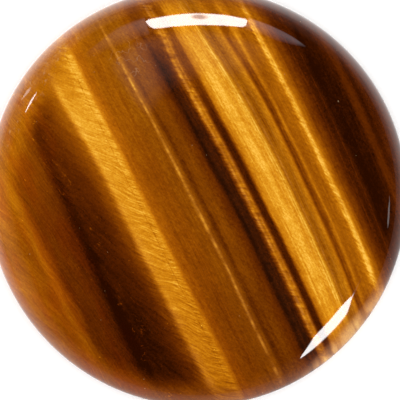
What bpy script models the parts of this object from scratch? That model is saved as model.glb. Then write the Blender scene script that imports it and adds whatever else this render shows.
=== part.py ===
"""A polished round of tiger's eye: one solid stone with a domed face, a soft girdle and a flat back.

The origin is the centre of the flat back and +Z points out of the dome, so the stone stands on z = 0.
"""

import math

import bmesh
import bpy

MM = 0.001

# The stone's driving sizes, in metres
STONE_RADIUS = 15.0 * MM
GIRDLE_HEIGHT = 1.6 * MM
DOME_RISE = 4.3 * MM
UNDER_EDGE_RADIUS = 1.5 * MM

# The dome's section is a superellipse: 2 would be a plain ellipse, and more is flatter with a fuller shoulder
DOME_FULLNESS = 3.2
# How far the rounded under-edge turns below the girdle before the straight bevel to the back takes over
UNDER_EDGE_TURN = math.radians(50)

# The outline was ground by hand, so it is a little oval and a little three-sided
OVAL = 0.057 * MM
OVAL_TOWARDS = math.radians(-35)
THREE_LOBE = 0.044 * MM
THREE_LOBE_TOWARDS = math.radians(27)

# How finely the curves are divided
STEPS_AROUND = 96
DOME_STEPS = 18
UNDER_EDGE_STEPS = 5
MERGE_DISTANCE = 0.00001

HONEY_BROWN = (0.33, 0.13, 0.012, 1.0)
POLISH_ROUGHNESS = 0.08


def clear_scene():
    """Remove whatever the file opened with."""
    for obj in list(bpy.data.objects):
        bpy.data.objects.remove(obj)


def dome_section():
    """The (radius, height) points of the dome, from its top down to the girdle."""
    points = []
    for step in range(DOME_STEPS + 1):
        turn = math.radians(90) * step / DOME_STEPS
        radius = STONE_RADIUS * math.sin(turn) ** (2 / DOME_FULLNESS)
        height = GIRDLE_HEIGHT + DOME_RISE * math.cos(turn)
        points.append((radius, height))
    return points


def under_edge_section():
    """The (radius, height) points below the girdle: a rounded edge, then a straight bevel to the back."""
    centre = STONE_RADIUS - UNDER_EDGE_RADIUS
    points = []
    for step in range(1, UNDER_EDGE_STEPS + 1):
        turn = UNDER_EDGE_TURN * step / UNDER_EDGE_STEPS
        radius = centre + UNDER_EDGE_RADIUS * math.cos(turn)
        height = GIRDLE_HEIGHT - UNDER_EDGE_RADIUS * math.sin(turn)
        points.append((radius, height))
    edge_radius, edge_height = points[-1]
    back_radius = edge_radius - edge_height * math.tan(UNDER_EDGE_TURN)
    return points + [(back_radius, 0.0)]


def turned_mesh(name, section):
    """A closed turned mesh of the section, which runs down its outer side from the axis to the axis."""
    profile = bpy.data.meshes.new(name + "_profile")
    edges = [(i, i + 1) for i in range(len(section) - 1)]
    profile.from_pydata([(radius, 0.0, height) for radius, height in section], edges, [])
    turning = bpy.data.objects.new(name + "_turning", profile)
    bpy.context.scene.collection.objects.link(turning)
    screw = turning.modifiers.new("Turn", "SCREW")
    screw.axis = "Z"
    screw.steps = STEPS_AROUND
    screw.render_steps = STEPS_AROUND
    screw.use_merge_vertices = True
    screw.merge_threshold = MERGE_DISTANCE
    graph = bpy.context.evaluated_depsgraph_get()
    mesh = bpy.data.meshes.new_from_object(turning.evaluated_get(graph))
    bpy.data.objects.remove(turning)
    bpy.data.meshes.remove(profile)
    mesh.name = name
    return mesh


def outline_share(angle):
    """The outline's radius in this direction, as a share of the stone's mean radius."""
    oval = OVAL * math.cos(2 * (angle - OVAL_TOWARDS))
    lobes = THREE_LOBE * math.cos(3 * (angle - THREE_LOBE_TOWARDS))
    return 1 + (oval + lobes) / STONE_RADIUS


def hand_ground(mesh):
    """Take the turned mesh out of round, as grinding by hand leaves it, and keep its heights."""
    shape = bmesh.new()
    shape.from_mesh(mesh)
    for vertex in shape.verts:
        share = outline_share(math.atan2(vertex.co.y, vertex.co.x))
        vertex.co.x *= share
        vertex.co.y *= share
    bmesh.ops.recalc_face_normals(shape, faces=shape.faces)
    shape.to_mesh(mesh)
    shape.free()


def polished_stone_material():
    """The stone's mean colour under its polish."""
    material = bpy.data.materials.new("polished_tigers_eye")
    material.use_nodes = True
    shader = material.node_tree.nodes["Principled BSDF"]
    shader.inputs["Base Color"].default_value = HONEY_BROWN
    shader.inputs["Roughness"].default_value = POLISH_ROUGHNESS
    shader.inputs["Metallic"].default_value = 0.0
    return material


def build_stone(collection):
    """The whole stone, as one solid."""
    mesh = turned_mesh("stone", dome_section() + under_edge_section() + [(0.0, 0.0)])
    hand_ground(mesh)
    mesh.shade_smooth()
    mesh.set_sharp_from_angle(angle=math.radians(35))
    mesh.materials.append(polished_stone_material())
    stone = bpy.data.objects.new("stone", mesh)
    collection.objects.link(stone)
    return stone


def main():
    clear_scene()
    collection = bpy.data.collections.new("tigers_eye_cabochon")
    bpy.context.scene.collection.children.link(collection)
    build_stone(collection)


main()
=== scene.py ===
"""A polished round of tiger's eye on a white table, seen from straight above.

The banding runs through the whole stone. Its places are in millimetres, measured on two lines across the
face: across the bands, growing to the upper right, and along them, growing to the lower right.
"""

import logging
import math
from dataclasses import dataclass, field, replace
from enum import Enum

import bmesh
import bpy
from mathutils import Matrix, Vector


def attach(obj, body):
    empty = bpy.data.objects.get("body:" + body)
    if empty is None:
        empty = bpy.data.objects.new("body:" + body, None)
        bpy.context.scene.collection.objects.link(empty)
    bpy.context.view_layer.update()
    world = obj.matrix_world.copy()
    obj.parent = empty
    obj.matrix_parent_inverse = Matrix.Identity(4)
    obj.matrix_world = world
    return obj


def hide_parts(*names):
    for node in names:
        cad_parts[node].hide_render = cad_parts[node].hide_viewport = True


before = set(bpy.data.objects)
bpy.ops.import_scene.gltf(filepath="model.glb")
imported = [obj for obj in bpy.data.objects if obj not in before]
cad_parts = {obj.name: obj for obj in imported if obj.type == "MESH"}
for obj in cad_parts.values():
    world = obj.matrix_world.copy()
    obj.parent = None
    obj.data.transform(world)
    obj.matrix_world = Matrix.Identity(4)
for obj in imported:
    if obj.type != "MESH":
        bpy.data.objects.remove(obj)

LOG = logging.getLogger("tigers_eye")
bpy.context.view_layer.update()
MM = 0.001
# Points that are nearer to each other than this are one point
TOUCH = 0.001 * MM
# The way across the bands: degrees on the clock, which starts at the top of the photograph
ACROSS_CLOCK = 63.5
# The attribute that says how bright a soft box is at each point of its mesh
LIT = "lit"

Number = "Value | float"
Colour = tuple[float, float, float]
BLACK: Colour = (0.0, 0.0, 0.0)
WHITE: Colour = (1.0, 1.0, 1.0)


class Value:
    """One shader socket, with ordinary arithmetic that adds Math nodes to its recipe."""

    def __init__(self, recipe: "Recipe", socket: bpy.types.NodeSocket) -> None:
        """Wrap an output socket of a recipe."""
        self.recipe = recipe
        self.socket = socket

    def __add__(self, other: Number) -> "Value":
        """Add."""
        return self.recipe.maths("ADD", self, other)

    def __radd__(self, other: Number) -> "Value":
        """Add, from the right."""
        return self.recipe.maths("ADD", other, self)

    def __sub__(self, other: Number) -> "Value":
        """Subtract."""
        return self.recipe.maths("SUBTRACT", self, other)

    def __rsub__(self, other: Number) -> "Value":
        """Subtract, from the right."""
        return self.recipe.maths("SUBTRACT", other, self)

    def __mul__(self, other: Number) -> "Value":
        """Multiply."""
        return self.recipe.maths("MULTIPLY", self, other)

    def __rmul__(self, other: Number) -> "Value":
        """Multiply, from the right."""
        return self.recipe.maths("MULTIPLY", other, self)

    def __abs__(self) -> "Value":
        """Drop the sign."""
        return self.recipe.maths("ABSOLUTE", self)

    def eased(self, low: float, high: float, start: float = 0.0, end: float = 1.0) -> "Value":
        """Ease smoothly from one number to another while the value goes from low to high.

        Args:
            low: Where the easing starts.
            high: Where it ends.
            start: The result at low and under it.
            end: The result at high and over it.

        Returns:
            The eased value.
        """
        return self.recipe.node(
            "ShaderNodeMapRange",
            {"interpolation_type": "SMOOTHSTEP"},
            {"Value": self, "From Min": low, "From Max": high, "To Min": start, "To Max": end},
        )

    def within(self, start: float, full: float, fade: float, end: float) -> "Value":
        """1 between full and fade, eased to 0 at start and at end."""
        return self.eased(start, full) * self.eased(end, fade)

    def near(self, place: float, full: float, gone: float) -> "Value":
        """1 within one distance of a place, eased to 0 at another."""
        return abs(self - place).eased(full, gone, 1.0, 0.0)

    def blended(self, goal: Number, share: Number) -> "Value":
        """Go this share of the way to a goal."""
        return self + (goal - self) * share


class Recipe:
    """The node tree of one material, with the few ways in which nodes are added to it."""

    def __init__(self, name: str) -> None:
        """Start a material with its own shader.

        Args:
            name: The material's name.
        """
        self.material = bpy.data.materials.new(name)
        self.material.use_nodes = True
        self.tree = self.material.node_tree
        self.shader = self.tree.nodes["Principled BSDF"]

    def node(self, kind: str, settings: dict, inputs: dict, output: str | int = 0) -> Value:
        """Add one node.

        Args:
            kind: The node's type.
            settings: The node's own settings, which are set first. "stops" fills a colour ramp.
            inputs: A number, a colour or a Value for each named or numbered socket.
            output: The name or number of the socket that is wanted.

        Returns:
            The wanted output.
        """
        node = self.tree.nodes.new(kind)
        for setting, choice in settings.items():
            if setting == "stops":
                self._fill_ramp(node.color_ramp, choice)
            else:
                setattr(node, setting, choice)
        for socket, given in inputs.items():
            self.feed(node.inputs[socket], given)
        return Value(self, node.outputs[output])

    @staticmethod
    def _fill_ramp(ramp: bpy.types.ColorRamp, stops: list[tuple[float, Colour]]) -> None:
        """Set a ramp's stops.

        Args:
            ramp: The ramp, fresh from Blender with two stops.
            stops: The places and colours, in order.
        """
        for place, _ in stops[1:-1]:
            ramp.elements.new(place)
        for element, (place, colour) in zip(ramp.elements, stops):
            element.position = place
            element.color = (*colour, 1.0)

    def feed(self, socket: bpy.types.NodeSocket, given: "Value | float | Colour") -> None:
        """Give a socket its link or its constant.

        Args:
            socket: The input socket.
            given: A Value to link, or a constant.
        """
        if isinstance(given, Value):
            self.tree.links.new(given.socket, socket)
        else:
            socket.default_value = (*given, 1.0) if socket.type == "RGBA" else given

    def maths(self, operation: str, *parts: Number) -> Value:
        """Add one Math node for an operation on some parts."""
        return self.node("ShaderNodeMath", {"operation": operation}, dict(enumerate(parts)))

    def mixed(
        self, share: Number, first: "Value | Colour", second: "Value | Colour", blend: str = "MIX",
    ) -> Value:
        """Mix a share of the second colour into the first."""
        settings = {"data_type": "RGBA", "blend_type": blend}
        return self.node("ShaderNodeMix", settings, {0: share, 6: first, 7: second}, 2)

    def length(self, first: Value, second: Value) -> Value:
        """The length of two distances at right angles to each other."""
        corner = self.node("ShaderNodeCombineXYZ", {}, {"X": first, "Y": second})
        return self.node("ShaderNodeVectorMath", {"operation": "LENGTH"}, {0: corner}, "Value")

    def place(self) -> tuple[Value, ...]:
        """The place in the piece's own space.

        Returns:
            Its x, y and z in millimetres.
        """
        here = self.node("ShaderNodeTexCoord", {}, {}, "Object")
        return tuple(
            self.node("ShaderNodeSeparateXYZ", {}, {"Vector": here}, axis) * (1 / MM) for axis in "XYZ"
        )

    def finish(self, sockets: dict) -> bpy.types.Material:
        """Feed the shader and hand the material over.

        Args:
            sockets: What goes to each of the shader's sockets.

        Returns:
            The finished material.
        """
        for socket, given in sockets.items():
            self.feed(self.shader.inputs[socket], given)
        return self.material


@dataclass(frozen=True)
class Grain:
    """A noise that is drawn out along the bands, or at a slant to them."""

    # How many grains there are to the millimetre across the bands, and how many along them
    across: float
    along: float
    # How many more there are along them because the grains lean
    slant: float = 0.0
    strength: float = 1.0
    # How many finer layers it has, and how strong they are
    detail: float = 2.0
    rough: float = 0.65
    # Where the noise starts, so that two noises differ
    start: float = 0.0


@dataclass(frozen=True)
class Spot:
    """A place in the stone, in millimetres across the bands, along them and up, with the noise read there."""

    recipe: Recipe
    across: Value
    along: Value
    depth: Value

    def grain(self, grain: Grain) -> Value:
        """The noise of a grain at this place.

        Args:
            grain: Which grain.

        Returns:
            A value that swings round zero by up to half the grain's strength.
        """
        drawn_out = self.across * grain.across - self.along * grain.slant + grain.start
        place = {0: drawn_out, 1: self.along * grain.along, 2: self.depth * grain.along}
        where = self.recipe.node("ShaderNodeCombineXYZ", {}, place)
        inputs = {"Vector": where, "Scale": 1.0, "Detail": grain.detail, "Roughness": grain.rough}
        return (self.recipe.node("ShaderNodeTexNoise", {}, inputs, "Fac") - 0.5) * grain.strength

    def out_towards(self, clock: float) -> Value:
        """How far out the place is in one direction of the clock, in millimetres."""
        turn = math.radians(clock - ACROSS_CLOCK)
        return self.across * math.cos(turn) + self.along * math.sin(turn)


class Tone(Enum):
    """The stone's colours, darkest first: how light each one looks, and its red, green and blue."""

    PITCH = (0.16, (0.0140, 0.0022, 0.0000))
    BARK = (0.29, (0.0470, 0.0073, 0.0001))
    UMBER = (0.39, (0.0850, 0.0150, 0.0002))
    HONEY = (0.55, (0.1750, 0.0400, 0.0004))
    AMBER = (0.65, (0.2500, 0.0690, 0.0010))
    OCHRE = (0.73, (0.3250, 0.0960, 0.0016))
    GOLD = (0.86, (0.4850, 0.1780, 0.0050))
    STRAW = (0.95, (0.6150, 0.2850, 0.0180))
    CREAM = (1.00, (0.7200, 0.3800, 0.0500))

    @property
    def lightness(self) -> float:
        """How light the tone looks, from 0 to 1."""
        return self.value[0]

    @property
    def colour(self) -> Colour:
        """The tone's red, green and blue."""
        return self.value[1]


@dataclass(frozen=True)
class Band:
    """One band of the stone, which reaches from the band before it to its own far edge."""

    tone: Tone
    until: float
    soft: float
    shade: float = 0.0

    @property
    def lightness(self) -> float:
        """The band's tone with its own shade added."""
        return self.tone.lightness + self.shade


@dataclass(frozen=True)
class Seam:
    """A fine line between bands: how much lighter it is, how much of it is gaps, and how pale it is."""

    place: float
    width: float
    shade: float
    broken: float = 0.5
    paleness: float = 0.0


BANDS = (
    Band(Tone.HONEY, -12.95, 0.30, 0.04),
    Band(Tone.HONEY, -12.25, 0.22, 0.01),
    Band(Tone.HONEY, -11.48, 0.50, 0.08),
    Band(Tone.UMBER, -9.70, 0.60, 0.01),
    Band(Tone.UMBER, -9.05, 0.40, -0.04),
    Band(Tone.PITCH, -8.30, 0.25, 0.02),
    Band(Tone.BARK, -7.25, 0.50, -0.04),
    Band(Tone.BARK, -6.50, 0.50, 0.01),
    Band(Tone.UMBER, -5.90, 0.40, 0.01),
    Band(Tone.HONEY, -5.36, 0.28, -0.01),
    Band(Tone.GOLD, -3.38, 0.28),
    Band(Tone.AMBER, -2.80, 0.35, -0.02),
    Band(Tone.HONEY, -2.10, 0.40, 0.01),
    Band(Tone.HONEY, -0.02, 0.16, -0.01),
    Band(Tone.UMBER, 0.30, 0.16, 0.02),
    Band(Tone.HONEY, 1.20, 0.35, -0.06),
    Band(Tone.UMBER, 1.78, 0.28, 0.01),
    Band(Tone.BARK, 2.84, 0.24, -0.07),
    Band(Tone.AMBER, 3.50, 0.18, 0.04),
    Band(Tone.BARK, 4.10, 0.20, -0.02),
    Band(Tone.OCHRE, 4.50, 0.30, 0.05),
    Band(Tone.GOLD, 4.85, 0.25, 0.04),
    Band(Tone.STRAW, 5.42, 0.18),
    Band(Tone.GOLD, 6.24, 0.16, 0.02),
    Band(Tone.AMBER, 6.97, 0.24, -0.01),
    Band(Tone.OCHRE, 7.33, 0.13, 0.04),
    Band(Tone.UMBER, 7.72, 0.18, 0.06),
    Band(Tone.OCHRE, 7.96, 0.10),
    Band(Tone.AMBER, 8.62, 0.22, -0.03),
    Band(Tone.OCHRE, 8.92, 0.12, -0.01),
    Band(Tone.STRAW, 9.32, 0.15, -0.01),
    Band(Tone.AMBER, 9.68, 0.22, 0.02),
    Band(Tone.UMBER, 10.25, 0.28, 0.06),
    Band(Tone.BARK, 10.65, 0.20, 0.01),
    Band(Tone.BARK, 11.25, 0.20, -0.05),
    Band(Tone.PITCH, 12.30, 0.28),
    Band(Tone.BARK, 12.85, 0.20, -0.09),
    Band(Tone.BARK, 13.45, 0.25, 0.03),
    Band(Tone.BARK, 13.80, 0.15, -0.10),
    Band(Tone.BARK, 16.00, 0.15, -0.04),
)

SEAMS = (
    Seam(-5.15, 0.50, 0.01, 1.0, 0.008),
    Seam(-3.95, 0.05, -0.06, 1.0),
    Seam(-2.00, 0.05, -0.03),
    Seam(-1.70, 0.05, 0.04),
    Seam(-0.85, 0.06, 0.03),
    Seam(-0.36, 0.34, 0.05, 0.6, 0.004),
    Seam(-0.39, 0.16, 0.15, 1.0, 0.014),
    Seam(2.05, 0.20, -0.05, 0.9),
    Seam(2.35, 0.80, 0.0, 0.3, 0.003),
    Seam(2.55, 0.10, 0.04, 1.0),
    Seam(3.06, 0.18, 0.07, 1.0, 0.020),
    Seam(3.38, 0.12, 0.02, 1.0, 0.010),
    Seam(4.66, 0.06, 0.05, 0.6),
    Seam(4.80, 0.05, -0.05, 0.6),
    Seam(5.62, 0.08, 0.02, 0.8, 0.012),
    Seam(5.90, 0.08, 0.05, 0.8, 0.015),
    Seam(6.08, 0.07, 0.06, 0.8, 0.018),
    Seam(6.42, 0.10, 0.05, 0.9, 0.015),
    Seam(6.64, 0.06, -0.06, 0.9),
    Seam(6.86, 0.05, 0.03, 0.9, 0.010),
    Seam(7.57, 0.10, 0.06, 1.0),
    Seam(8.40, 0.05, 0.04, 0.8),
    Seam(9.16, 0.14, 0.0, 0.9, 0.02),
    Seam(9.75, 0.05, 0.05, 0.5),
    Seam(10.55, 0.06, 0.05, 0.8),
    Seam(11.05, 0.06, 0.05, 0.8),
    Seam(12.05, 0.07, 0.04, 0.8),
    Seam(12.60, 0.06, 0.05, 0.8),
)


@dataclass(frozen=True)
class Shift:
    """A change of lightness towards one end of some of the bands."""

    change: float
    # Where along the bands it starts, and where it is full
    grows: tuple[float, float]
    # Where across the bands it starts, is full, fades and ends
    span: tuple[float, float, float, float]

    def at(self, spot: Spot) -> Value:
        """The change of lightness at a place."""
        return spot.along.eased(*self.grows, 0.0, self.change) * spot.across.within(*self.span)


SHIFTS = (
    Shift(0.08, (-2.0, -10.0), (-17.0, -16.0, -6.5, -5.5)),
    Shift(-0.08, (-8.5, -11.0), (-5.7, -5.1, -4.5, -4.0)),
    Shift(0.03, (-4.5, -9.0), (-4.1, -3.5, 1.6, 2.2)),
    Shift(0.12, (-4.0, -9.5), (7.0, 7.3, 7.8, 8.1)),
    Shift(-0.06, (-6.0, -9.5), (8.5, 8.9, 9.3, 9.8)),
    Shift(-0.04, (3.0, 11.0), (-6.5, -5.0, 1.0, 1.8)),
    Shift(-0.09, (9.5, 12.0), (3.9, 4.4, 5.3, 5.8)),
)


@dataclass(frozen=True)
class TigersEye:
    """The banded, silky stone under its polish."""

    bands: tuple[Band, ...] = BANDS
    seams: tuple[Seam, ...] = SEAMS
    shifts: tuple[Shift, ...] = SHIFTS
    # The bands' places are as seen on the face, which is nearer to the camera than the girdle
    face_magnified: float = 1.018

    # How the bands bend: the bow grows with the square of the way along them, the lean with the way itself
    bow_dark: float = -0.0018
    bow_left: float = 0.0015
    bow_middle: float = 0.0030
    bow_right: float = -0.0023
    lean_left: float = 0.0135
    lean_middle: float = 0.007
    lean_right: float = -0.0347
    lean_far: float = -0.015
    lean_dark: float = -0.035
    # How far two of the bands spread near the top
    dark_flare: float = 0.5
    bright_flare: float = 0.17
    waver: Grain = Grain(0.5, 0.16, strength=0.22, detail=1.0)
    fine_waver: Grain = Grain(2.5, 0.6, strength=0.06, detail=1.0, start=7.0)
    left_drift: float = 0.085

    # Left of this place the bands have fibres across them, and right of it strands along them
    fibre_change: float = -3.5
    fibre_change_soft: float = 0.25
    # The gold fibres are curved round this place
    fibre_middle: float = -4.3
    fibre_curve: float = 0.148
    brown_fan: float = 6.0
    silk_waver: Grain = Grain(0.35, 0.3, strength=1.1, detail=1.0, start=3.0)
    gold_ticks: Grain = Grain(9.0, 2.4, slant=9.0, detail=1.0, start=17.0)
    gold_fibres: Grain = Grain(5.2, 0.7, slant=5.0, strength=1.2, detail=3.0, rough=0.72)
    gold_sheen: Grain = Grain(1.8, 0.5, slant=1.7, strength=0.4)
    brown_fibres: Grain = Grain(4.5, 0.4, slant=1.8, strength=1.2, detail=3.0, rough=0.85)
    brown_sheen: Grain = Grain(1.1, 0.25, slant=0.4, strength=0.5)
    strokes: Grain = Grain(7.0, 1.8, slant=3.2, strength=0.72, rough=0.8)
    hairs: Grain = Grain(5.0, 0.16, strength=0.72, detail=3.0, rough=0.8)
    clouds: Grain = Grain(1.4, 0.4, strength=0.5, start=5.0)
    # The strands are calmer round this place
    calm_middle: float = 5.0
    calm_share: float = 0.24

    clotted_seam: float = 3.2
    clots: Grain = Grain(3.2, 1.3, slant=5.0, strength=1.8, detail=3.0, rough=0.7)
    lumps: Grain = Grain(1.4, 1.3, strength=1.3)
    feathered_seam: float = 9.1
    feathers: Grain = Grain(6.0, 1.3, slant=3.6, strength=1.25, detail=4.0, rough=0.75)
    seam_gaps: Grain = Grain(0.0, 0.9, detail=3.0)
    seam_gap_stride: float = 3.0

    speckle: Grain = Grain(7.0, 6.0, strength=0.22, rough=0.8)
    flecks: Grain = Grain(4.2, 3.4, slant=1.5, detail=1.0, start=9.0)
    fleck_lightness: float = 0.2
    hairlines: Grain = Grain(0.9, 0.35, slant=0.35, detail=3.0, start=2.0)
    hairline_breaks: Grain = Grain(1.6, 1.4, detail=3.0, start=6.0)
    hairline_middle: float = -8.2
    hairline_lightness: float = 0.24
    sparks: Grain = Grain(5.0, 4.6, detail=0.0, start=4.0)
    spark_paleness: float = 0.25
    scribble: Grain = Grain(0.8, 0.6, detail=3.0, rough=0.55, start=12.0)
    scribble_place: tuple[float, float] = (0.1, -11.0)
    scribble_paleness: float = 0.1
    pits: Grain = Grain(3.4, 2.4, slant=-1.2, detail=3.0, start=8.0)
    pits_clock: float = -57.2
    pit_paleness: float = 0.16

    # The lightness that the rim and the bands near the top are blended towards: a painted glow of light
    # through the thin rim, and a painted reflection haze near the top
    painted_rim_glow_left: float = 0.56
    painted_rim_glow_right: float = 0.34
    painted_rim_glow_low_gain: float = 0.12
    painted_rim_glow_top_gain: float = 0.13
    painted_warm_rim_glow_top: float = 0.77
    painted_warm_rim_glow_low: float = 0.55
    painted_upper_left_rim_glow: float = 0.71
    painted_top_haze_lifts_under: float = 0.62
    painted_top_haze_lift: float = 0.22
    painted_top_haze_melt: float = 0.68
    # Where light comes through the rim, and how light and pale the stone is there
    through_clock: float = 132.0
    through_patches: Grain = Grain(1.1, 0.2, start=16.3)
    through_lightness: float = 0.87
    through_paleness: float = 0.26

    # How far the texture shifts the bands' edges, and how much it changes the darks and the lights
    texture_nudge: float = 0.08
    texture_in_dark: float = 0.16
    texture_in_light: float = 0.23
    red_tint: Colour = (1.03, 0.86, 0.9)
    red_waver: Grain = Grain(0.9, 0.25, start=3.0)
    red_seam: float = -3.1
    red_seam_share: float = 0.4
    olive_tint: Colour = (0.95, 1.06, 1.5)
    olive_share: float = 0.6
    pale: Colour = (0.70, 0.50, 0.28)

    roughness: float = 0.46
    smoother_in_light: float = 0.16
    smoother_in_fibres: float = 0.1
    metallic_in_light: float = 0.06
    fibre_height: float = 0.00002
    fibre_strength: float = 0.15
    polish_roughness: float = 0.03
    stone_ior: float = 1.54
    back_edge: float = 0.5
    polish_on_back: float = 0.35

    def material(self) -> bpy.types.Material:
        """Mix the whole finish.

        Returns:
            The stone's material.
        """
        recipe = Recipe("polished_tigers_eye")
        spot = self._spot(recipe)
        straight = self._straightened(spot)
        soft = self.fibre_change_soft
        left = spot.across.eased(self.fibre_change + soft, self.fibre_change - soft)
        texture = self._silk(spot) * left + self._strands(straight) * (1 - left) + self._breaks(straight)
        nudged = replace(straight, across=straight.across + texture * self.texture_nudge)
        seams, paleness = self._seams(nudged)
        through = self._through(spot)
        # The rim gets a painted glow of light through its thin edge, and the top a painted reflection haze
        lightness = self._painted_rim_glow_and_top_haze(spot, self._banded(nudged) + seams + self._drift(spot))
        lightness = lightness.blended(self.through_lightness, through)
        contrast = lightness * self.texture_in_light + self.texture_in_dark
        lightness = lightness + texture * contrast + self._flecked(spot, left)
        stops = [(tone.lightness, tone.colour) for tone in Tone]
        colour = recipe.node("ShaderNodeValToRGB", {"stops": stops}, {"Fac": lightness}, "Color")
        paleness = paleness + through * self.through_paleness + self._scratched(spot)
        colour = recipe.mixed(paleness, self._tinted(straight, colour), self.pale)
        height = {"Strength": self.fibre_strength, "Distance": self.fibre_height, "Height": texture}
        roughness = self.roughness - lightness * self.smoother_in_light - texture * self.smoother_in_fibres
        on_face = spot.depth.eased(0.02, self.back_edge)
        return recipe.finish({
            "Base Color": colour,
            "Roughness": roughness,
            "Metallic": lightness.eased(0.5, 0.95, 0.0, self.metallic_in_light),
            "Normal": recipe.node("ShaderNodeBump", {}, height),
            "IOR": self.stone_ior,
            "Specular IOR Level": 0.0,
            "Coat Weight": on_face.eased(0.0, 1.0, self.polish_on_back, 1.0),
            "Coat Roughness": self.polish_roughness,
            "Coat IOR": self.stone_ior,
        })

    def _spot(self, recipe: Recipe) -> Spot:
        """The place of a point across the bands, along them and up through the stone.

        Args:
            recipe: The stone's recipe.

        Returns:
            The place.
        """
        x, y, z = recipe.place()
        turn = math.radians(90 - ACROSS_CLOCK)
        cos = math.cos(turn) * self.face_magnified
        sin = math.sin(turn) * self.face_magnified
        return Spot(recipe, x * cos + y * sin, x * sin - y * cos, z)

    def _straightened(self, spot: Spot) -> Spot:
        """The place in a stone whose bands are straight.

        Args:
            spot: The place in the stone.

        Returns:
            The place, where the bow and the waver of the bands are taken out.
        """
        across, along = spot.across, spot.along
        in_dark = across.within(-10.5, -8.7, -7.5, -5.8)
        bow = (
            in_dark * self.bow_dark
            + across.eased(-4.0, 0.0, 0.0, self.bow_left)
            + across.eased(2.5, 6.0, 0.0, self.bow_middle)
            + across.eased(6.0, 9.0, 0.0, self.bow_right)
        )
        lean = (
            in_dark * self.lean_dark
            + across.eased(-4.0, 2.0, 0.0, self.lean_left)
            + across.eased(2.5, 6.0, 0.0, self.lean_middle)
            + across.eased(5.0, 9.0, 0.0, self.lean_right)
            + across.eased(9.2, 9.8, 0.0, self.lean_far)
        )
        flare = (
            along.eased(-4.0, -13.0, 0.0, self.dark_flare) * across.within(-7.5, -6.5, -5.0, -4.2)
            - along.eased(-8.5, -12.0, 0.0, self.bright_flare) * across.within(1.9, 2.4, 3.6, 4.2)
        )
        waver = spot.grain(self.waver) + spot.grain(self.fine_waver)
        return replace(spot, across=across + along * (along * bow - lean) + flare + waver)

    def _silk(self, spot: Spot) -> Value:
        """The silky fibres of the left bands: short ones across the gold, longer ones in the browns.

        Args:
            spot: The place in the stone.

        Returns:
            The fibres' light and dark, around zero.
        """
        across = spot.across + spot.grain(self.silk_waver)
        off_middle = across - self.fibre_middle
        curved = replace(spot, across=across - off_middle * off_middle * self.fibre_curve)
        ticks = curved.grain(self.gold_ticks) * spot.across.eased(-4.9, -3.9)
        gold = curved.grain(self.gold_fibres) + ticks + curved.grain(self.gold_sheen)
        gold = gold * spot.along.eased(-9.0, 6.0, 0.75, 1.25)
        fanned = replace(spot, across=across - across.eased(-8.0, -13.0, 0.0, self.brown_fan))
        brown = fanned.grain(self.brown_fibres) + fanned.grain(self.brown_sheen)
        return gold.blended(brown, spot.across.eased(-5.4, -7.2))

    def _strands(self, straight: Spot) -> Value:
        """The fine strands that run along the other bands, and the short strokes that lean across them.

        Args:
            straight: The place in a stone with straight bands.

        Returns:
            The strands' light and dark, around zero.
        """
        lively = 1 - straight.across.near(self.calm_middle, 0.4, 1.0) * self.calm_share
        strands = straight.grain(self.strokes) + straight.grain(self.hairs)
        return strands * lively + straight.grain(self.clouds)

    def _breaks(self, straight: Spot) -> Value:
        """The clots of the narrow gold seam, and the short feathers of the other one.

        Args:
            straight: The place in a stone with straight bands.

        Returns:
            Their light and dark, around zero.
        """
        clotted = straight.grain(self.clots) + straight.grain(self.lumps)
        in_clotted = straight.across.near(self.clotted_seam, 0.2, 0.65)
        in_feathered = straight.across.near(self.feathered_seam, 0.2, 0.6)
        return clotted * in_clotted + straight.grain(self.feathers) * in_feathered

    def _banded(self, straight: Spot) -> Value:
        """The lightness of the bands at a place.

        Args:
            straight: The place in a stone with straight bands.

        Returns:
            The lightness.
        """
        lightness = self.bands[0].lightness
        for band, after in zip(self.bands, self.bands[1:]):
            step = after.lightness - band.lightness
            edge = straight.across.eased(band.until - band.soft, band.until + band.soft, 0.0, step)
            lightness = lightness + edge
        return lightness

    def _seams(self, straight: Spot) -> tuple[Value, Value]:
        """The fine lines between the bands.

        Args:
            straight: The place in a stone with straight bands.

        Returns:
            The change of lightness, and how pale the seams are.
        """
        lightness = paleness = 0.0
        for seam in self.seams:
            gaps = straight.grain(replace(self.seam_gaps, start=seam.place * self.seam_gap_stride))
            ridge = straight.across.near(seam.place, 0.0, seam.width)
            ridge = ridge * gaps.eased(-0.25, 0.25, 1.0 - seam.broken, 1.0 + seam.broken)
            lightness = lightness + ridge * seam.shade
            paleness = paleness + ridge * seam.paleness
        return lightness, paleness

    def _drift(self, spot: Spot) -> Value:
        """How the bands on the left darken from the top down, and how others change near their ends.

        Args:
            spot: The place in the stone.

        Returns:
            The change of lightness.
        """
        drift = spot.along.eased(-12.0, 12.0, self.left_drift, -self.left_drift)
        drift = drift * spot.across.eased(-8.0, 3.0, 1.0, 0.0)
        for shift in self.shifts:
            drift = drift + shift.at(spot)
        return drift

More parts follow.
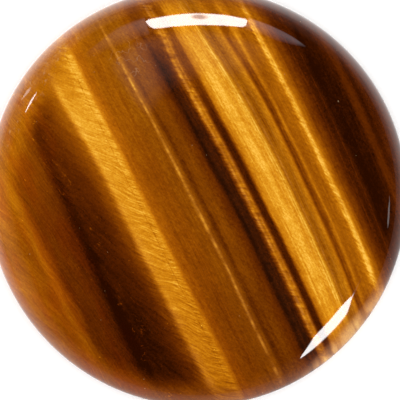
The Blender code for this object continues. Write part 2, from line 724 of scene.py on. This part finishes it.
    def _painted_rim_glow_and_top_haze(self, spot: Spot, lightness: Value) -> Value:
        """Paint a glow of light through the thin rim by blurring the bands towards it, warmer on the left,
        and paint a reflection haze near the top that lifts and blurs the darks.

        Args:
            spot: The place in the stone.
            lightness: The lightness of the bands.

        Returns:
            The lightness with the rim's glow.
        """
        across, along = spot.across, spot.along
        reach = spot.recipe.length(across, along)
        painted_rim_glow_lightness = (
            across.eased(-6.0, 9.0, self.painted_rim_glow_left, self.painted_rim_glow_right)
            + along.eased(5.0, 10.0, 0.0, self.painted_rim_glow_low_gain) * across.eased(-1.0, 3.0)
            + along.eased(-6.0, -10.0, 0.0, self.painted_rim_glow_top_gain) * across.eased(3.0, -1.0)
        )
        # Painted glow: the bands blur towards the rim, as if light came through its thin edge
        painted_rim_glow_share = reach.eased(13.6, 14.8, 0.0, 0.6) * along.eased(2.0, 8.0, 1.0, 0.6)
        lightness = lightness.blended(painted_rim_glow_lightness, painted_rim_glow_share)
        # Painted glow, warmer, at the rim on the left and at the upper left
        painted_warm_rim_glow = along.eased(-6.0, 12.0, self.painted_warm_rim_glow_top, self.painted_warm_rim_glow_low)
        painted_left_rim_glow_share = reach.eased(12.7, 14.5, 0.0, 0.8) * across.eased(-9.0, 3.0, 1.0, 0.1)
        lightness = lightness.blended(painted_warm_rim_glow, painted_left_rim_glow_share)
        painted_upper_left_glow_area = along.eased(-4.0, -9.0) * across.eased(-3.6, -6.2)
        lightness = lightness.blended(self.painted_upper_left_rim_glow, reach.eased(12.0, 13.8, 0.0, 0.9) * painted_upper_left_glow_area)
        # Painted reflection haze near the top: the darks are lifted and the bands are evened out
        painted_top_haze_area = (along + across.eased(4.5, 6.0, -1.2, 0.6)).eased(-4.5, -9.5)
        painted_top_haze_area = painted_top_haze_area * across.within(1.6, 3.4, 8.0, 8.6)
        painted_top_haze_lift_amount = (self.painted_top_haze_lifts_under - lightness).eased(0.0, 0.4, 0.0, self.painted_top_haze_lift)
        lightness = lightness + painted_top_haze_lift_amount * painted_top_haze_area
        painted_top_haze_melt_share = along.eased(-8.5, -12.5, 0.0, 0.5) * across.within(-2.0, 0.0, 7.5, 9.0)
        return lightness.blended(self.painted_top_haze_melt, painted_top_haze_melt_share)

    def _through(self, spot: Spot) -> Value:
        """How much light comes through the rim at the lower right, in patches.

        Args:
            spot: The place in the stone.

        Returns:
            The share, from 0 to 1.
        """
        patches = spot.grain(self.through_patches).eased(-0.12, 0.08, 0.3, 1.0)
        patches = patches * spot.across.eased(1.7, 2.8, 0.4, 1.0) * spot.across.eased(8.8, 6.9, 0.6, 1.0)
        return spot.out_towards(self.through_clock).eased(14.0, 14.85) * patches

    def _flecked(self, spot: Spot, left: Value) -> Value:
        """The finest grain, the small gold flecks, and the broken hairlines of the dark bands.

        Args:
            spot: The place in the stone.
            left: How far the place is in the left bands, from 0 to 1.

        Returns:
            The change of lightness.
        """
        flecks = spot.grain(self.flecks).eased(0.24, 0.32, 0.0, self.fleck_lightness) * left
        hairlines = spot.grain(self.hairlines).near(0.0, 0.0, 0.015) * self.hairline_lightness
        hairlines = hairlines * spot.across.near(self.hairline_middle, 0.2, 1.4)
        hairlines = hairlines * spot.grain(self.hairline_breaks).eased(0.0, 0.12)
        return spot.grain(self.speckle) + flecks + hairlines

    def _scratched(self, spot: Spot) -> Value:
        """The pale marks: sparks all over, a scribble near the top, and pits in the rim at the upper left.

        Args:
            spot: The place in the stone.

        Returns:
            How pale the place is.
        """
        sparks = spot.grain(self.sparks).eased(0.38, 0.44, 0.0, self.spark_paleness)
        across, along = self.scribble_place
        in_scribble = spot.recipe.length(spot.across - across, spot.along - along).eased(1.9, 0.9)
        scribble = spot.grain(self.scribble).near(0.0, 0.0, 0.012) * self.scribble_paleness
        at_rim = spot.out_towards(self.pits_clock).eased(12.9, 13.9)
        pits = spot.grain(self.pits).eased(0.05, 0.25, 0.0, self.pit_paleness)
        return sparks + scribble * in_scribble + pits * at_rim

    def _tinted(self, straight: Spot, colour: Value) -> Value:
        """Turn the colour a little to red in the left browns, and to olive in two of the golds.

        Args:
            straight: The place in a stone with straight bands.
            colour: The colour of the tones.

        Returns:
            The tinted colour.
        """
        across = straight.across
        red = (straight.grain(self.red_waver) + across.eased(-6.0, -8.0, -0.2, 0.1)).eased(0.0, 0.25)
        red = red + across.near(self.red_seam, 0.2, 0.6) * self.red_seam_share
        olive = across.within(-1.8, -1.0, 0.8, 1.6) + across.within(5.7, 6.2, 6.9, 7.3)
        colour = straight.recipe.mixed(red, colour, self.red_tint, "MULTIPLY")
        return straight.recipe.mixed(olive * self.olive_share, colour, self.olive_tint, "MULTIPLY")


@dataclass(frozen=True)
class WhiteTable:
    """The plain matt white of the table."""

    white: float = 0.95
    roughness: float = 0.9

    def material(self) -> bpy.types.Material:
        """Mix the finish.

        Returns:
            The table's material.
        """
        return Recipe("white_table").finish({
            "Base Color": (self.white,) * 3,
            "Roughness": self.roughness,
            "Specular IOR Level": 0.0,
        })


@dataclass(frozen=True)
class LitCloth:
    """The lit cloth of a soft box, brighter where the panel's own attribute says so."""

    brightness: float
    tint: Colour

    def material(self) -> bpy.types.Material:
        """Mix the finish.

        Returns:
            A glowing material.
        """
        recipe = Recipe("lit_cloth")
        share = recipe.node("ShaderNodeAttribute", {"attribute_name": LIT}, {}, "Fac")
        return recipe.finish({
            "Base Color": BLACK,
            "Specular IOR Level": 0.0,
            "Emission Color": recipe.mixed(share, BLACK, self.tint),
            "Emission Strength": self.brightness,
        })


@dataclass(frozen=True)
class MirroredTable:
    """The table as the polish mirrors it: bright close by and to the upper left, dim further out."""

    near: float = 0.50
    middle: float = 0.30
    far: float = 0.25
    # Where each of the first two fades, from the middle of the table outwards, in millimetres
    near_fades: tuple[float, float] = (15.0, 34.0)
    middle_fades: tuple[float, float] = (20.0, 90.0)
    # How far to the lower right and upper left each is dimmest and brightest, and how bright it is there
    near_reach: float = 22.0
    near_swing: tuple[float, float] = (0.13, 2.8)
    near_lean: float = 0.4
    middle_reach: float = 85.0
    middle_swing: tuple[float, float] = (0.05, 2.1)

    def material(self) -> bpy.types.Material:
        """Mix the finish.

        Returns:
            A glowing material.
        """
        recipe = Recipe("mirrored_table")
        x, y, _ = recipe.place()
        away = recipe.length(x, y)
        near = away.eased(*self.near_fades, self.near, 0.0)
        near = near * (y - x * self.near_lean).eased(-self.near_reach, self.near_reach, *self.near_swing)
        middle = away.eased(*self.middle_fades, self.middle, 0.0)
        middle = middle * (y - x).eased(-self.middle_reach, self.middle_reach, *self.middle_swing)
        return recipe.finish({
            "Base Color": BLACK,
            "Specular IOR Level": 0.0,
            "Emission Color": near + middle + self.far,
            "Emission Strength": 1.0,
        })


@dataclass
class PolishedStone:
    """The stone: a low dome, a soft girdle, a rounded under-edge, a bevel and a flat back, in millimetres."""

    radius: float = 15.0
    girdle_height: float = 1.6
    dome_rise: float = 4.3
    dome_fullness: float = 3.2
    under_edge_radius: float = 1.5
    under_edge_turn: float = math.radians(50)
    back_arris: float = 0.12
    oval: float = 0.057
    oval_towards: float = math.radians(-35)
    three_lobe: float = 0.044
    three_lobe_towards: float = math.radians(27)
    # The finer mesh is taken in by this share, so that it stays inside the solid's box
    inside: float = 0.9994
    steps_around: int = 360
    dome_steps: int = 90
    under_edge_steps: int = 14
    arris_steps: int = 3
    finish: TigersEye = field(default_factory=TigersEye)

    def face_height(self, share: float) -> float:
        """The height of the domed face at a share of the radius."""
        return self.girdle_height + self.dome_rise * math.sqrt(max(0.0, 1 - share ** self.dome_fullness))

    def face_point(self, share: float, clock: float) -> tuple[Vector, Vector]:
        """A point of the domed face and the way it faces.

        Args:
            share: How far out it is, as a share of the radius.
            clock: Its angle in degrees, clockwise from the top of the photograph.

        Returns:
            The point in metres, and the unit normal there.
        """
        turn = math.radians(90 - clock)
        outward = Vector((math.cos(turn), math.sin(turn), 0.0))
        root = math.sqrt(1 - share ** self.dome_fullness)
        steepness = self.dome_fullness * share ** (self.dome_fullness - 1) / (2 * root)
        slope = self.dome_rise / self.radius * steepness
        point = (outward * (share * self.radius) + Vector((0, 0, self.face_height(share)))) * MM
        return point, (outward * slope + Vector((0, 0, 1))).normalized()

    def _section(self) -> list[tuple[float, float]]:
        """The radius and height of each point of the outer side, from the top down to the back.

        Returns:
            The section's points.
        """
        points = []
        for step in range(self.dome_steps + 1):
            turn = math.radians(90) * step / self.dome_steps
            share = math.sin(turn) ** (2 / self.dome_fullness)
            points.append((self.radius * share, self.girdle_height + self.dome_rise * math.cos(turn)))
        centre = self.radius - self.under_edge_radius
        for step in range(1, self.under_edge_steps + 1):
            turn = self.under_edge_turn * step / self.under_edge_steps
            radius = centre + self.under_edge_radius * math.cos(turn)
            points.append((radius, self.girdle_height - self.under_edge_radius * math.sin(turn)))
        edge_radius, edge_height = points[-1]
        points.append((edge_radius - edge_height * math.tan(self.under_edge_turn), 0.0))
        return points + [(0.0, 0.0)]

    def _outline_share(self, angle: float) -> float:
        """How far out the outline is in one direction.

        Args:
            angle: The direction, in radians.

        Returns:
            A share of the stone's mean radius.
        """
        oval = self.oval * math.cos(2 * (angle - self.oval_towards))
        lobes = self.three_lobe * math.cos(3 * (angle - self.three_lobe_towards))
        return 1 + (oval + lobes) / self.radius

    def shape(self) -> bmesh.types.BMesh:
        """Turn the section, soften the back's edge and take the turned shape out of round.

        Returns:
            The stone's mesh, in metres.
        """
        shape = bmesh.new()
        section = self._section()
        verts = [shape.verts.new((radius * MM, 0.0, height * MM)) for radius, height in section]
        edges = [shape.edges.new(pair) for pair in zip(verts, verts[1:])]
        bmesh.ops.spin(
            shape, geom=verts + edges, cent=(0, 0, 0), axis=(0, 0, 1), angle=math.tau,
            steps=self.steps_around, use_merge=True, use_duplicate=False,
        )
        bmesh.ops.remove_doubles(shape, verts=shape.verts, dist=TOUCH)
        bmesh.ops.recalc_face_normals(shape, faces=shape.faces)
        back_radius = section[-2][0] * MM
        arris = [
            edge for edge in shape.edges if all(self._is_on_back_edge(end, back_radius) for end in edge.verts)
        ]
        bmesh.ops.bevel(
            shape, geom=arris, offset=self.back_arris * MM, segments=self.arris_steps,
            profile=0.5, affect="EDGES", material=-1,
        )
        for vertex in shape.verts:
            share = self._outline_share(math.atan2(vertex.co.y, vertex.co.x)) * self.inside
            vertex.co.x *= share
            vertex.co.y *= share
        return shape

    @staticmethod
    def _is_on_back_edge(vertex: bmesh.types.BMVert, back_radius: float) -> bool:
        """Whether a point is on the edge of the flat back."""
        reach = vertex.co.xy.length
        return vertex.co.z < TOUCH and abs(reach - back_radius) < TOUCH

    def build(self) -> bpy.types.Object:
        """Build the stone and dress it.

        Returns:
            The stone's piece.
        """
        mesh = bpy.data.meshes.new("polished_stone")
        shape = self.shape()
        shape.to_mesh(mesh)
        shape.free()
        mesh.shade_smooth()
        mesh.materials.append(self.finish.material())
        stone = bpy.data.objects.new("polished_stone", mesh)
        bpy.context.scene.collection.objects.link(stone)
        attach(stone, "root")
        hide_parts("stone")
        return stone


@dataclass(frozen=True)
class Rail:
    """One cut through a soft box's reflection: where it is on the face, and how bright the box is there."""

    clock: float
    inner: float
    outer: float
    lit: float = 1.0

    def share_at(self, rise: float) -> float:
        """The share of the radius at this share of the way from the inner to the outer edge."""
        return self.inner + (self.outer - self.inner) * rise


@dataclass(frozen=True)
class Smudge:
    """A dim oval in a soft box's reflection: its place, its half sizes, and how much light it takes away."""

    clock: float
    share: float
    half_clock: float
    half_share: float
    dims: float

    def left_at(self, clock: float, share: float) -> float:
        """The share of the light that it leaves at a place."""
        away = math.hypot((clock - self.clock) / self.half_clock, (share - self.share) / self.half_share)
        return 1 - self.dims * max(0.0, min(1.0, 2 - 2 * away))


@dataclass(frozen=True)
class SoftBox:
    """A light that is placed by its reflection, with rails in clockwise degrees and shares of the radius."""

    name: str
    rails: tuple[Rail, ...]
    brightness: float
    tint: Colour = WHITE
    inner_fade: float = 0.0
    outer_fade: float = 0.0
    smudge: Smudge | None = None
    reach: float = 350.0
    steps_along: int = 120
    steps_across: int = 20

    def rail_at(self, way: float) -> Rail:
        """The rail at a share of the way along the box.

        Args:
            way: The share, from 0 to 1.

        Returns:
            A rail between the two nearest ones.
        """
        spot = way * (self.rails[-1].clock - self.rails[0].clock) + self.rails[0].clock
        for first, second in zip(self.rails, self.rails[1:]):
            if spot <= second.clock:
                break
        share = min(1.0, (spot - first.clock) / (second.clock - first.clock))
        return Rail(
            spot,
            first.inner + (second.inner - first.inner) * share,
            first.outer + (second.outer - first.outer) * share,
            first.lit + (second.lit - first.lit) * share,
        )

    def lit_at(self, rail: Rail, rise: float) -> float:
        """How bright the box is at a place.

        Args:
            rail: The rail there.
            rise: How far out it is between the inner and the outer edge, from 0 to 1.

        Returns:
            A share of the box's brightness.
        """
        lit = rail.lit
        if self.inner_fade:
            lit *= min(1.0, rise / self.inner_fade)
        if self.outer_fade:
            lit *= min(1.0, (1 - rise) / self.outer_fade)
        if self.smudge:
            lit *= self.smudge.left_at(rail.clock, rail.share_at(rise))
        return lit


# Past this share of the radius the face mirrors the table, and short of it the far wall
WALL_ENDS = 0.9435
FAR_WALL_RAILS = tuple(
    Rail(clock, inner, WALL_ENDS, lit)
    for clock, inner, lit in (
        (-180.0, 0.91, 0.25), (-150.0, 0.905, 0.4), (-130.0, 0.89, 0.75), (-115.0, 0.86, 1.2),
        (-100.0, 0.86, 1.1), (-80.0, 0.895, 0.8), (-60.0, 0.895, 1.2), (-45.0, 0.905, 1.6),
        (-30.0, 0.905, 1.1), (-12.0, 0.905, 0.3), (12.0, 0.905, 0.3), (30.0, 0.905, 0.55),
        (60.0, 0.91, 0.15), (110.0, 0.91, 0.06), (130.0, 0.88, 0.3), (150.0, 0.875, 0.5),
        (165.0, 0.90, 0.25), (180.0, 0.90, 0.3),
    )
)

SOFT_BOXES = (
    SoftBox(
        "top_box",
        (Rail(-15.6, 0.852, 0.856), Rail(-14.6, 0.822, 0.864), Rail(-13.5, 0.810, 0.864),
         Rail(-10.5, 0.805, 0.863), Rail(-4.5, 0.803, 0.864), Rail(0.0, 0.804, 0.866),
         Rail(4.5, 0.807, 0.866), Rail(9.0, 0.813, 0.869), Rail(13.5, 0.821, 0.870),
         Rail(15.3, 0.827, 0.871), Rail(16.0, 0.838, 0.866)),
        19.0, inner_fade=0.08, outer_fade=0.1, smudge=Smudge(1.2, 0.8465, 3.3, 0.015, 0.66),
    ),
    SoftBox(
        "low_box",
        (Rail(116.0, 0.860, 0.866, 0.0), Rail(121.5, 0.864, 0.873, 0.02), Rail(122.8, 0.868, 0.873, 0.5),
         Rail(124.0, 0.861, 0.878), Rail(126.0, 0.856, 0.890), Rail(128.0, 0.852, 0.901),
         Rail(130.0, 0.852, 0.903), Rail(134.0, 0.853, 0.904), Rail(138.0, 0.856, 0.905),
         Rail(140.0, 0.859, 0.906), Rail(142.0, 0.870, 0.907), Rail(146.0, 0.894, 0.908),
         Rail(147.3, 0.904, 0.907)),
        18.0, inner_fade=0.1, outer_fade=0.16,
    ),
    SoftBox(
        "left_strip",
        (Rail(-64.4, 0.892, 0.894), Rail(-63.0, 0.889, 0.896), Rail(-60.5, 0.887, 0.898),
         Rail(-59.0, 0.888, 0.897), Rail(-57.2, 0.891, 0.893)),
        15.0, inner_fade=0.25, outer_fade=0.25,
    ),
    SoftBox(
        "left_streak",
        (Rail(-61.6, 0.937, 0.939, 0.4), Rail(-60.0, 0.931, 0.942), Rail(-58.2, 0.925, 0.940),
         Rail(-56.8, 0.926, 0.932, 0.4)),
        4.6, (1.0, 0.95, 0.9),
    ),
    SoftBox(
        "right_strip",
        (Rail(90.0, 0.905, 0.907, 0.3), Rail(92.0, 0.905, 0.909, 1.0), Rail(94.0, 0.902, 0.910),
         Rail(98.0, 0.905, 0.913), Rail(99.6, 0.911, 0.913, 0.7)),
        2.0,
    ),
    SoftBox(
        "right_wing",
        (Rail(16.2, 0.818, 0.880), Rail(27.0, 0.822, 0.881), Rail(31.0, 0.838, 0.880),
         Rail(33.0, 0.850, 0.878), Rail(35.6, 0.869, 0.875, 0.3)),
        1.5, (0.97, 0.9, 1.0), inner_fade=0.65, outer_fade=0.1,
    ),
    SoftBox(
        "left_wing",
        (Rail(-38.0, 0.805, 0.850, 0.0), Rail(-33.0, 0.800, 0.854, 0.25), Rail(-30.0, 0.797, 0.862, 0.3),
         Rail(-27.0, 0.790, 0.870, 0.45), Rail(-24.0, 0.785, 0.877, 0.6), Rail(-18.0, 0.785, 0.878, 0.9),
         Rail(-15.6, 0.780, 0.878, 1.2)),
        1.1, (1.0, 0.92, 0.9), inner_fade=0.6, outer_fade=0.15,
    ),
    SoftBox(
        "overhead_haze",
        (Rail(-34.0, 0.45, 0.74, 0.0), Rail(-29.0, 0.42, 0.76, 0.9), Rail(-20.0, 0.47, 0.79, 1.0),
         Rail(-14.0, 0.49, 0.79, 0.6), Rail(0.0, 0.54, 0.79, 0.6), Rail(14.0, 0.57, 0.78, 0.5),
         Rail(28.0, 0.61, 0.78, 0.0)),
        0.42, inner_fade=0.35, outer_fade=0.15,
    ),
    SoftBox(
        "far_wall",
        FAR_WALL_RAILS,
        0.42, (1.0, 0.93, 0.86), inner_fade=1.0, reach=700.0,
    ),
)


@dataclass
class Studio:
    """The white table, the lights and the camera, straight above."""

    stone: PolishedStone
    table_size: float = 3.0
    table_gap: float = 0.00002
    card_radius: float = 400.0
    card_sides: int = 64
    daylight: float = 1.6
    lens: float = 250.0
    sensor: float = 36.0
    # The width of the photograph's frame at the girdle's height, and the point that it is centred on, in mm
    frame_width: float = 28.6
    aim: tuple[float, float] = (0.22, -0.29)

    @property
    def camera_place(self) -> Vector:
        """Where the camera is, in metres."""
        distance = self.frame_width * self.lens / self.sensor
        return Vector((self.aim[0], self.aim[1], self.stone.girdle_height + distance)) * MM

    def lay_table(self) -> bpy.types.Object:
        """Lay the table under the stone.

        Returns:
            The table.
        """
        shape = bmesh.new()
        bmesh.ops.create_grid(shape, x_segments=1, y_segments=1, size=self.table_size / 2)
        bmesh.ops.translate(shape, verts=shape.verts, vec=(0, 0, -self.table_gap))
        table = self._stage("white_table", shape, WhiteTable().material())
        table.visible_glossy = False
        return table

    def hang_box(self, box: SoftBox) -> bpy.types.Object:
        """Hang a soft box where the camera sees it mirrored in its own place of the face.

        Args:
            box: The soft box.

        Returns:
            Its panel.
        """
        shape = bmesh.new()
        lit = shape.verts.layers.float.new(LIT)
        bmesh.ops.create_grid(shape, x_segments=box.steps_along, y_segments=box.steps_across, size=0.5)
        for vertex in shape.verts:
            rail, rise = box.rail_at(vertex.co.x + 0.5), vertex.co.y + 0.5
            point, normal = self.stone.face_point(rail.share_at(rise), rail.clock)
            seen = (self.camera_place - point).normalized()
            vertex[lit] = box.lit_at(rail, rise)
            vertex.co = point + (2 * normal.dot(seen) * normal - seen) * (box.reach * MM)
        panel = self._stage(box.name, shape, LitCloth(box.brightness, box.tint).material())
        self._only_mirrored(panel)
        return panel

    def lay_card(self) -> bpy.types.Object:
        """Lay the card that stands in for the table in reflections, since the room is dark past the table.

        Returns:
            The card.
        """
        shape = bmesh.new()
        bmesh.ops.create_circle(shape, cap_ends=True, segments=self.card_sides, radius=self.card_radius * MM)
        bmesh.ops.translate(shape, verts=shape.verts, vec=(0, 0, -self.table_gap))
        card = self._stage("mirrored_table", shape, MirroredTable().material())
        self._only_mirrored(card)
        return card

    @staticmethod
    def _only_mirrored(thing: bpy.types.Object) -> None:
        """Let a light be seen in reflections and nowhere else.

        Args:
            thing: The light.
        """
        thing.visible_camera = False
        thing.visible_diffuse = False
        thing.visible_shadow = False

    @staticmethod
    def _stage(name: str, shape: bmesh.types.BMesh, material: bpy.types.Material) -> bpy.types.Object:
        """Make a stage object of a mesh.

        Args:
            name: Its name.
            shape: Its mesh, in metres, which is used up.
            material: Its material.

        Returns:
            The object.
        """
        mesh = bpy.data.meshes.new(name)
        shape.to_mesh(mesh)
        shape.free()
        mesh.materials.append(material)
        thing = bpy.data.objects.new(name, mesh)
        bpy.context.scene.collection.objects.link(thing)
        return thing

    def let_in_daylight(self) -> bpy.types.World:
        """Light the room evenly, but keep that light out of the polish, which mirrors a dark room.

        Returns:
            The world.
        """
        world = bpy.data.worlds.new("pale_room")
        world.use_nodes = True
        background = world.node_tree.nodes["Background"]
        background.inputs["Color"].default_value = (*WHITE, 1.0)
        background.inputs["Strength"].default_value = self.daylight
        world.cycles_visibility.glossy = False
        bpy.context.scene.world = world
        return world

    def set_camera(self) -> bpy.types.Object:
        """Set the camera up straight above the stone.

        Returns:
            The camera.
        """
        data = bpy.data.cameras.new("camera")
        data.lens = self.lens
        data.sensor_width = self.sensor
        camera = bpy.data.objects.new("camera", data)
        camera.location = self.camera_place
        bpy.context.scene.collection.objects.link(camera)
        bpy.context.scene.camera = camera
        bpy.context.scene.view_settings.view_transform = "Standard"
        return camera


def report(thing: bpy.types.Object) -> None:
    """Say that a piece is made, and how fine it is."""
    LOG.info("%s: %d faces", thing.name, len(thing.data.polygons))


def main() -> None:
    """Build the stone and the studio."""
    logging.basicConfig(level=logging.INFO, format="%(message)s")
    stone = PolishedStone()
    studio = Studio(stone)
    report(stone.build())
    report(studio.lay_table())
    report(studio.lay_card())
    for box in SOFT_BOXES:
        report(studio.hang_box(box))
    LOG.info("light: %s", studio.let_in_daylight().name)
    LOG.info("camera: %s", studio.set_camera().name)


if __name__ == "__main__":
    main()
